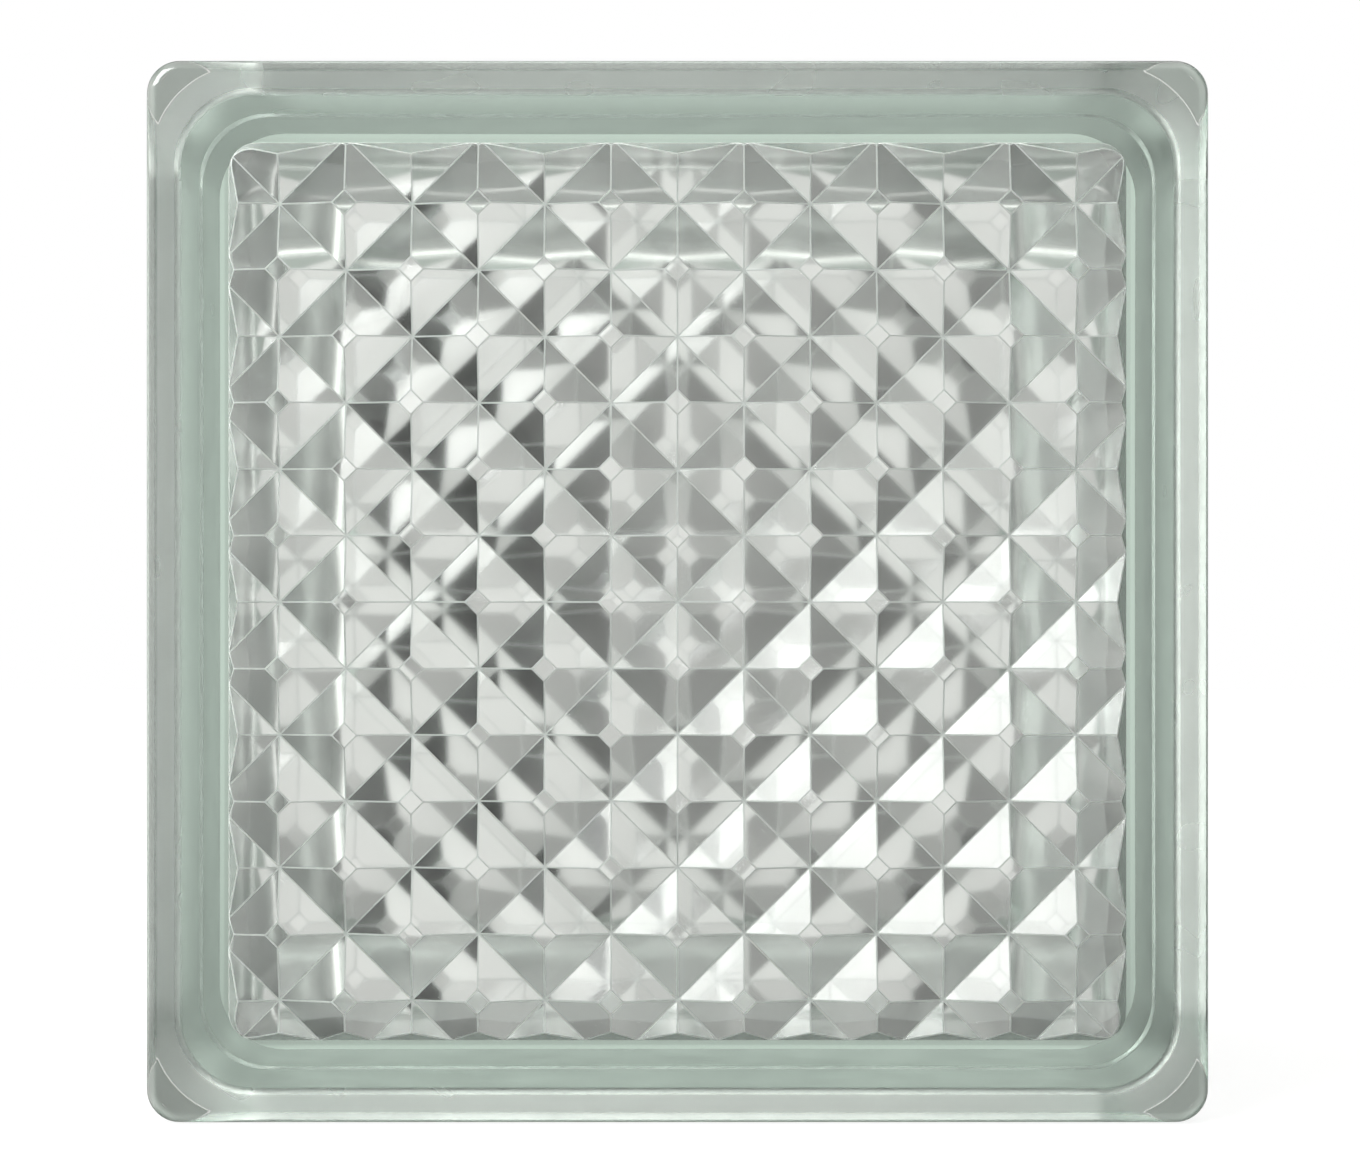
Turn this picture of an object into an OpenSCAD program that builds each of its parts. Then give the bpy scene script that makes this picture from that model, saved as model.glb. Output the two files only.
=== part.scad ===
// Hollow pressed-glass building block, square on the face, fused from two half shells.
// The front face looks along -Y, Z is up, and the origin is the bottom centre.

/* [Block] */
// Width of the block
block_w = 190; // [170:1:240]
// Height of the block
block_h = 190; // [170:1:240]
// Depth of the block between its two flat faces
block_d = 80; // [74:1:100]
// Corner radius of the face outline
corner_r = 6; // [4:0.5:7]
// Radius of the rounded rim around each face
rim_r = 2.6; // [1:0.2:3.6]

/* [Mortar groove] */
// Depth of the groove that runs round the four sides
groove_depth = 4; // [3:0.1:5.5]
// Width of each rim lip beside the groove
lip_w = 11; // [8:0.5:14]
// Distance over which the lip slopes down to the groove floor
shoulder_run = 4.5; // [2:0.5:7]
// Radius between the groove floor and its shoulders
shoulder_r = 4; // [1:0.5:6]
// Corner radius of the groove floor
groove_corner_r = 13; // [8:0.5:16]
// Height of the fused seam above the groove floor
seam_h = 0.8; // [0.4:0.1:1.2]
// Radius of the fused seam's round back
seam_r = 3; // [2:0.5:5]

/* [Hollow] */
// Thickest glass of each pane, from the flat face to the ridges of the pattern
pane_t = 9; // [7.5:0.5:12]
// Distance from the outline to the hollow at the pane
hollow_inset = 13.8; // [12.8:0.1:17]
// Distance from the outline to the hollow at the seam
seam_inset = 12; // [11:0.1:12.8]
// Corner radius of the hollow at the pane
hollow_corner_r = 5; // [4:0.5:8]

/* [Pyramid field] */
// Distance from a crossing of ridges to the next pit floor, along X and along Z
pit_pitch = 12; // [10:0.05:14]
// Depth of the pyramid pits pressed into the inside of each pane
pit_depth = 2.7; // [1.6:0.1:3.2]
// Half the diagonal of a pit's flat floor
pit_floor = 2.25; // [1:0.05:3]
// Distance of the central crossing below the middle of the face
field_drop = 1.9; // [0:0.1:4]
// Distance the sloped end wall of the field leans in over the pit depth
wall_run = 2.6; // [0.8:0.1:3]

/* [Hidden] */
$fn = 48;
face_z = block_d / 2;
half_w = block_w / 2;
half_h = block_h / 2;
lip_z = face_z - lip_w;
floor_z = lip_z - shoulder_run;
pane_z = face_z - pane_t;
pit_row = pit_pitch * sqrt(2);
floor_side = pit_floor * sqrt(2);
hollow_w = half_w - hollow_inset;
hollow_h = half_h - hollow_inset;
row_count = ceil((norm([hollow_w, hollow_h]) + field_drop) / pit_row);
root = 1;
over = 3;
ear_step = 0.5;

// The given section swept round a rounded rectangle
module swept(w, h, r) {
    for (k = [0 : 3]) {
        out = k % 2 == 0 ? w - r : h - r;
        run = k % 2 == 0 ? h - r : w - r;
        rotate([0, 0, 90 * k])
            translate([out, run, 0]) {
                rotate([90, 0, 0])
                    linear_extrude(2 * run)
                        children();
                rotate_extrude(angle = 90)
                    children();
            }
    }
}

// The same with its middle filled from z0 to z1
module swept_block(w, h, r, z0, z1) {
    swept(w, h, r)
        children();
    translate([r - w, r - h, z0])
        cube([2 * (w - r), 2 * (h - r), z1 - z0]);
}

// Section of the outer box at its rim, measured from the corner centre
module rim_section() {
    translate([0, -face_z])
        square([corner_r - rim_r, 2 * face_z]);
    translate([0, rim_r - face_z])
        square([corner_r, 2 * (face_z - rim_r)]);
    for (s = [-1, 1])
        translate([corner_r - rim_r, s * (face_z - rim_r)])
            circle(rim_r);
}

// Section of the mortar groove between the two lips, with round corners at its floor.
// Past the sides it runs on level, so that it also parts the two lips at the block's corners.
module groove_section() {
    lean = atan2(shoulder_run, groove_depth);
    cut = shoulder_r * tan((90 - lean) / 2);
    cut_x = groove_corner_r + cut * cos(lean);
    cut_z = floor_z + cut * sin(lean);
    ear_x = groove_corner_r + groove_depth + ear_step;
    ear_z = lip_z + ear_step * shoulder_run / groove_depth;
    far_x = (groove_corner_r + groove_depth) * sqrt(2) + over;
    difference() {
        union() {
            polygon([
                [groove_corner_r, cut - floor_z], [groove_corner_r, floor_z - cut], [cut_x, cut_z],
                [ear_x, ear_z], [far_x, ear_z], [far_x, -ear_z], [ear_x, -ear_z], [cut_x, -cut_z]
            ]);
            for (s = [-1, 1])
                translate([groove_corner_r + shoulder_r, s * (floor_z - cut)])
                    circle(shoulder_r);
        }
        translate([groove_corner_r + seam_h - seam_r, 0])
            circle(seam_r);
    }
}

// Section of the sealed hollow, wider at the seam than at the panes
module hollow_section() {
    seam_x = hollow_corner_r + hollow_inset - seam_inset;
    polygon([
        [0, -pane_z], [hollow_corner_r, -pane_z], [seam_x, 0], [hollow_corner_r, pane_z], [0, pane_z]
    ]);
}

// Section of the field's end wall, leaning in towards the pit floors
module field_section() {
    lean = wall_run / pit_depth;
    top = pit_depth + 0.5;
    polygon([
        [0, -root], [hollow_corner_r, -root], [hollow_corner_r, 0], [hollow_corner_r - lean * top, top], [0, top]
    ]);
}

// Parallel rows of hollow space with flat tops, side by side, one edge through the middle crossing
module pit_rows(turn) {
    reach = row_count * pit_row;
    tops = [
        for (k = [-row_count : row_count - 1])
            for (p = [[0, 0], [(pit_row - floor_side) / 2, pit_depth], [(pit_row + floor_side) / 2, pit_depth]])
                [k * pit_row + p[0], p[1]]
    ];
    translate([0, -field_drop, 0])
        rotate([0, 0, turn])
            translate([0, reach, 0])
                rotate([90, 0, 0])
                    linear_extrude(2 * reach)
                        polygon(concat([[-reach, -root]], tops, [[reach, 0], [reach, -root]]));
}

// Field of pyramid pits with flat floors, standing on their corners
module pit_field() {
    intersection() {
        pit_rows(45);
        pit_rows(-45);
        swept_block(hollow_w, hollow_h, hollow_corner_r, -root, pit_depth + 0.5)
            field_section();
    }
}

module glass_block() {
    color([0.74, 0.83, 0.79])
        translate([0, 0, half_h])
            rotate([90, 0, 0])
                difference() {
                    swept_block(half_w, half_h, corner_r, -face_z, face_z)
                        rim_section();
                    swept(half_w - groove_depth, half_h - groove_depth, groove_corner_r)
                        groove_section();
                    swept_block(hollow_w, hollow_h, hollow_corner_r, -pane_z, pane_z)
                        hollow_section();
                    for (turn = [0, 180])
                        rotate([0, turn, 0])
                            translate([0, 0, pane_z])
                                pit_field();
                }
}

glass_block();
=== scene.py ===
import bpy
from math import cos, pi, radians, sin
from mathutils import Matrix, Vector


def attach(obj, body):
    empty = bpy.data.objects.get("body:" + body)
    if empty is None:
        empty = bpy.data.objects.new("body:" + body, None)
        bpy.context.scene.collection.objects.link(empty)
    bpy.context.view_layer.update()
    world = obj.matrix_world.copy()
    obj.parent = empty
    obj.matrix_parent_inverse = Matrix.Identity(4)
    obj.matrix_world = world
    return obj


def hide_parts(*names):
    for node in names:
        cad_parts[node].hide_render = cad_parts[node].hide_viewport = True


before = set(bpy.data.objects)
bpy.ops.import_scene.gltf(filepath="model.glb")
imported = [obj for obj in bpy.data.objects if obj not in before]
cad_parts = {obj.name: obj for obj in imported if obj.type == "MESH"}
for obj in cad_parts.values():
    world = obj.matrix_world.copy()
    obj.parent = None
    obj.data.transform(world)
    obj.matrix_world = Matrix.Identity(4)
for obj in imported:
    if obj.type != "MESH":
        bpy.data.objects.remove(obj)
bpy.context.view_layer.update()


# Glass block: one hollow body of clear pressed glass, two half shells fused at the seam.
# Each shell is pressed hot, so its edges come out a little round; white paint is mixed into its
# ridges as a painted highlight.
# The sides are left rough, to key into the mortar, and nothing is fixed to the block.
block_w, block_h, block_d = 0.190, 0.190, 0.080
border_w = 0.0115
edge_round = 0.00028
weld_gap = 0.000002
flat_angle, round_angle, smooth_angle = radians(0.5), radians(17), radians(30)

# Distances from the seam, to the front or the back
floor_reach, shoulder_reach, lip_reach = 0.0200, 0.0295, 0.0374
# The hollow walls near the seam, and the ridges further out, take the white painted light
hollow_light_reach, ridge_start, ridge_reach, pane_reach = 0.0215, 0.0305, 0.0311, 0.0390

# How level a face lies, 1 where it is parallel to the panes
wall_level, facet_level, corner_level, pit_floor_level = 0.8, 0.931, 0.99, 0.9995
level_slack, skew_slack = 0.004, 0.02

# Finish of each kind of face, from 0 clear to 1 matt, and the share of it painted white, as a
# painted highlight or painted light
groove_matt, shoulder_matt, lip_matt, lip_corner_matt = 0.24, 0.30, 0.20, 0.52
hollow_matt, end_wall_matt, pit_floor_matt, facet_matt = 0.08, 0.90, 0.10, 0.11
# Faces matter than this, the level lip faces and the end walls of the hollow, are tinted darker
# green as painted shade
painted_shade_from = 0.5
# White paint mixed into the glass: a painted highlight along the ridges, painted light on the
# hollow walls near the seam
hollow_painted_light, ridge_painted_highlight = 0.30, 0.80

clear_colour = (1.0, 1.0, 1.0, 1.0)
# Darker green: painted shade on the level lip faces and the end walls
painted_shade_colour = (0.50, 0.60, 0.545, 1.0)
# White for the painted highlight and the painted light
painted_light_colour = (0.95, 0.97, 0.96, 1.0)
tint_colour, tint_density = (0.73, 0.85, 0.79, 1.0), 20.0

block = bpy.data.objects.new("pressed_glass_block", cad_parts["glass_block"].data.copy())
bpy.context.scene.collection.objects.link(block)
bpy.ops.object.select_all(action="DESELECT")
bpy.context.view_layer.objects.active = block
block.select_set(True)
bpy.ops.object.mode_set(mode="EDIT")
bpy.ops.mesh.select_all(action="SELECT")
bpy.ops.mesh.remove_doubles(threshold=weld_gap)
bpy.ops.mesh.dissolve_limited(angle_limit=flat_angle)
bpy.ops.object.mode_set(mode="OBJECT")

rounding = block.modifiers.new("pressed_edges", "BEVEL")
rounding.width = edge_round
rounding.segments = 2
rounding.limit_method = "ANGLE"
rounding.angle_limit = round_angle
bpy.ops.object.modifier_apply(modifier="pressed_edges")
bpy.ops.object.shade_smooth_by_angle(angle=smooth_angle)
flats = block.modifiers.new("flat_faces", "WEIGHTED_NORMAL")
flats.keep_sharp = True
bpy.ops.object.modifier_apply(modifier="flat_faces")

finish = block.data.attributes.new("finish", "FLOAT", "FACE")
# Share of white paint on each face: a painted highlight on the ridges, painted light on the hollow
# walls
painted_light = block.data.attributes.new("painted_light", "FLOAT", "FACE")
for face in block.data.polygons:
    x, y, z = face.center
    outward = max(abs(x), abs(z - block_h / 2))
    deep = abs(y)
    level = abs(face.normal.y)
    skew = abs(abs(face.normal.x) - abs(face.normal.z))
    matt, painted_light_share = 0.0, 0.0
    if outward > block_w / 2 - border_w:
        if deep < floor_reach:
            matt = groove_matt
        elif deep < shoulder_reach:
            matt = shoulder_matt
        elif deep < lip_reach:
            matt = lip_corner_matt if level > corner_level else lip_matt
    elif deep < pane_reach:
        if level < wall_level:
            if deep > ridge_reach:
                matt = end_wall_matt
            else:
                # Hollow walls: painted light in white
                matt, painted_light_share = hollow_matt, hollow_painted_light
        elif level > pit_floor_level:
            matt = pit_floor_matt
        else:
            matt = facet_matt
            if abs(level - facet_level) > level_slack or skew > skew_slack:
                # Ridges and the rounded edges between facets: a painted highlight in white
                painted_light_share = ridge_painted_highlight
    finish.data[face.index].value = matt
    painted_light.data[face.index].value = painted_light_share


class Wire:
    """An output of one node tree. Sums on it add Math nodes, and node() adds any other node.

    A Mix node has its two colours at inputs 6 and 7, and the mixed colour at output 2.
    """

    def __init__(self, tree, socket=None):
        self.tree = tree
        self.socket = socket

    def node(self, kind, inputs=None, out=0, **settings):
        made = self.tree.nodes.new(kind)
        for name, value in settings.items():
            setattr(made, name, value)
        for name, value in (inputs or {}).items():
            if isinstance(value, Wire):
                self.tree.links.new(value.socket, made.inputs[name])
            else:
                made.inputs[name].default_value = value
        return Wire(self.tree, made.outputs[out] if made.outputs else None)

    def sum(self, operation, a, b=0.0):
        return self.node("ShaderNodeMath", {0: a, 1: b}, operation=operation)

    def __add__(self, other):
        return self.sum("ADD", self, other)

    def __radd__(self, other):
        return self.sum("ADD", other, self)

    def __mul__(self, other):
        return self.sum("MULTIPLY", self, other)

    def __rmul__(self, other):
        return self.sum("MULTIPLY", other, self)

    def __gt__(self, other):
        return self.sum("GREATER_THAN", self, other)

    def __lt__(self, other):
        return self.sum("LESS_THAN", self, other)

    def __or__(self, other):
        return self.sum("MAXIMUM", self, other)

    def __abs__(self):
        return self.sum("ABSOLUTE", self)


glass = bpy.data.materials.new("clear_pressed_glass")
glass.use_nodes = True
glass.node_tree.nodes.clear()
glass_nodes = Wire(glass.node_tree)
spot = glass_nodes.node("ShaderNodeTexCoord", out="Object")
mottle = glass_nodes.node("ShaderNodeTexNoise", {"Vector": spot, "Scale": 110.0, "Detail": 0.0})
matt_share = glass_nodes.node("ShaderNodeAttribute", attribute_name="finish", out="Fac")
# Painted shade: the matt lip faces and end walls take the darker green colour
hue = glass_nodes.node("ShaderNodeMix", {
    "Factor": matt_share > painted_shade_from, 6: clear_colour, 7: painted_shade_colour,
}, out=2, data_type="RGBA")
surface = glass_nodes.node("ShaderNodeBsdfPrincipled", {
    "Base Color": hue, "Transmission Weight": 1.0, "IOR": 1.5,
    "Roughness": matt_share * (0.8 + 0.4 * mottle),
})
# White paint mixed into the glass: painted highlight on the ridges, painted light on the hollow
# walls near the seam
painted_light_white = glass_nodes.node("ShaderNodeBsdfDiffuse", {"Color": painted_light_colour})
depth = abs(glass_nodes.node("ShaderNodeSeparateXYZ", {"Vector": spot}, out="Y"))
painted_light_fac = glass_nodes.node("ShaderNodeAttribute", attribute_name="painted_light", out="Fac")
painted_light_mask = painted_light_fac * ((depth < hollow_light_reach) | (depth > ridge_start))
body = glass_nodes.node("ShaderNodeMixShader", {0: painted_light_mask, 1: surface, 2: painted_light_white})
tint = glass_nodes.node("ShaderNodeVolumeAbsorption", {
    "Color": tint_colour, "Density": tint_density,
})
glass_nodes.node("ShaderNodeOutputMaterial", {"Surface": body, "Volume": tint})
block.data.materials.clear()
block.data.materials.append(glass)

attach(block, "root")
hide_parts("glass_block")


# Floor: a plain painted table top, which the block stands on.
# It is white to the eye, apart from a faint shadow, and clear to light that comes through
# or off the glass, so that the glass shows the studio and not a white sheet.
floor_size = 3.0
paint_colour, white_colour = (0.66, 0.66, 0.655, 1.0), (1.0, 1.0, 1.0, 1.0)
white_level, white_share = 1.17, 0.70
bpy.ops.object.select_all(action="DESELECT")
bpy.ops.mesh.primitive_plane_add(size=floor_size, location=(0.0, 0.0, 0.0))
floor = bpy.context.object
floor.name = "floor"
table = bpy.data.materials.new("pale_table")
table.use_nodes = True
table.node_tree.nodes.clear()
table_nodes = Wire(table.node_tree)
seen = table_nodes.node("ShaderNodeLightPath", out="Is Camera Ray")
refracted = table_nodes.node("ShaderNodeLightPath", out="Is Transmission Ray")
mirrored = table_nodes.node("ShaderNodeLightPath", out="Is Glossy Ray")
paint = table_nodes.node("ShaderNodeBsdfDiffuse", {"Color": paint_colour})
white = table_nodes.node("ShaderNodeEmission", {"Color": white_colour, "Strength": white_level})
open_air = table_nodes.node("ShaderNodeBsdfTransparent")
lit = table_nodes.node("ShaderNodeMixShader", {0: refracted | mirrored, 1: paint, 2: open_air})
top = table_nodes.node("ShaderNodeMixShader", {0: seen * white_share, 1: lit, 2: white})
table_nodes.node("ShaderNodeOutputMaterial", {"Surface": top})
floor.data.materials.append(table)


# Studio: a soft grey room with a window on the left and one above, and a soft box up left in front.
# It is darkest behind the block on the left, with paler walls further out, as the glass shows it.
# The eye meets plain white in its place.
room_level = 0.82
warm_red, warm_blue = 1.01, 0.97
box_angle, box_reach, box_size, box_power = radians(62.0), 0.90, 0.42, 8.5
diagonal = 0.707
studio = bpy.data.worlds.new("studio")
bpy.context.scene.world = studio
studio.use_nodes = True
studio.cycles.sampling_method = "NONE"
studio.node_tree.nodes.clear()
studio_nodes = Wire(studio.node_tree)
way = studio_nodes.node("ShaderNodeTexCoord", out="Generated")
sideways, inwards, upwards = (
    studio_nodes.node("ShaderNodeSeparateXYZ", {"Vector": way}, out=axis) for axis in "XYZ")


def ease(value, low, high, at_low, at_high):
    return studio_nodes.node("ShaderNodeMapRange", {
        "Value": value, "From Min": low, "From Max": high, "To Min": at_low, "To Max": at_high,
    }, interpolation_type="SMOOTHSTEP")


left_shade = ease(sideways, -0.38, -0.16, 0.0, 1.0)
right_shade = ease(sideways, 0.16, 0.38, 1.0, 0.27)
low_shade = ease(upwards, -0.40, -0.03, 0.45, 1.0)
top_shade = ease(upwards, 0.18, 0.45, 1.0, 0.32)
left_wall = ease(sideways, -0.54, -0.41, 0.55, 0.0)
right_wall = ease(sideways, 0.41, 0.54, 0.0, 0.36)
behind = ease(inwards, 0.50, 0.75, 0.0, 1.0)
left_window = ease(sideways, -0.85, -0.60, 2.2, 0.0)
top_window = ease(upwards, 0.60, 0.85, 0.0, 1.7)
front_fill = ease(inwards, -0.65, -0.15, 0.08, 0.0)
room = left_shade * right_shade * top_shade * low_shade * room_level
room = room + (left_wall + right_wall) * behind + left_window + top_window + front_fill
warm = studio_nodes.node("ShaderNodeCombineColor", {
    "Red": room * warm_red, "Green": room, "Blue": room * warm_blue,
})
eye = studio_nodes.node("ShaderNodeLightPath", out="Is Camera Ray")
view = studio_nodes.node("ShaderNodeMix", {
    "Factor": eye, 6: warm, 7: white_colour,
}, out=2, data_type="RGBA")
sky = studio_nodes.node("ShaderNodeBackground", {"Color": view, "Strength": 1.0})
studio_nodes.node("ShaderNodeOutputWorld", {"Surface": sky})

middle = Vector((0.0, 0.0, block_h / 2))
box_offset = box_reach * sin(box_angle) * diagonal
bpy.ops.object.light_add(type="AREA", location=(
    -box_offset, -block_d / 2 - box_reach * cos(box_angle), block_h / 2 + box_offset))
soft_box = bpy.context.object
soft_box.name = "soft_box"
soft_box.data.shape = "RECTANGLE"
soft_box.data.size, soft_box.data.size_y = box_size, box_size
soft_box.data.energy = box_power
soft_box.rotation_euler = (middle - soft_box.location).to_track_quat("-Z", "Y").to_euler()


# Camera: level with the middle of the block and square to its face, as the photograph was taken.
# Widths and offsets are in pixels of the photograph, where the face is a little off the centre.
photo_w, face_w = 1360, 1068
offset_x, offset_y = 2.5, 13.0
sensor_w = 36.0
reach = 0.35
frame_w = block_w * photo_w / face_w
bpy.ops.object.camera_add(
    location=(0.0, -block_d / 2 - reach, block_h / 2), rotation=(pi / 2, 0.0, 0.0))
camera = bpy.context.object
camera.data.sensor_width = sensor_w
camera.data.lens = sensor_w * reach / frame_w
camera.data.shift_x = offset_x / photo_w
camera.data.shift_y = offset_y / photo_w
bpy.context.scene.camera = camera

bpy.context.scene.view_settings.view_transform = "Standard"
bpy.context.scene.cycles.max_bounces = 10
bpy.context.scene.cycles.transmission_bounces = 10
bpy.context.scene.cycles.glossy_bounces = 8
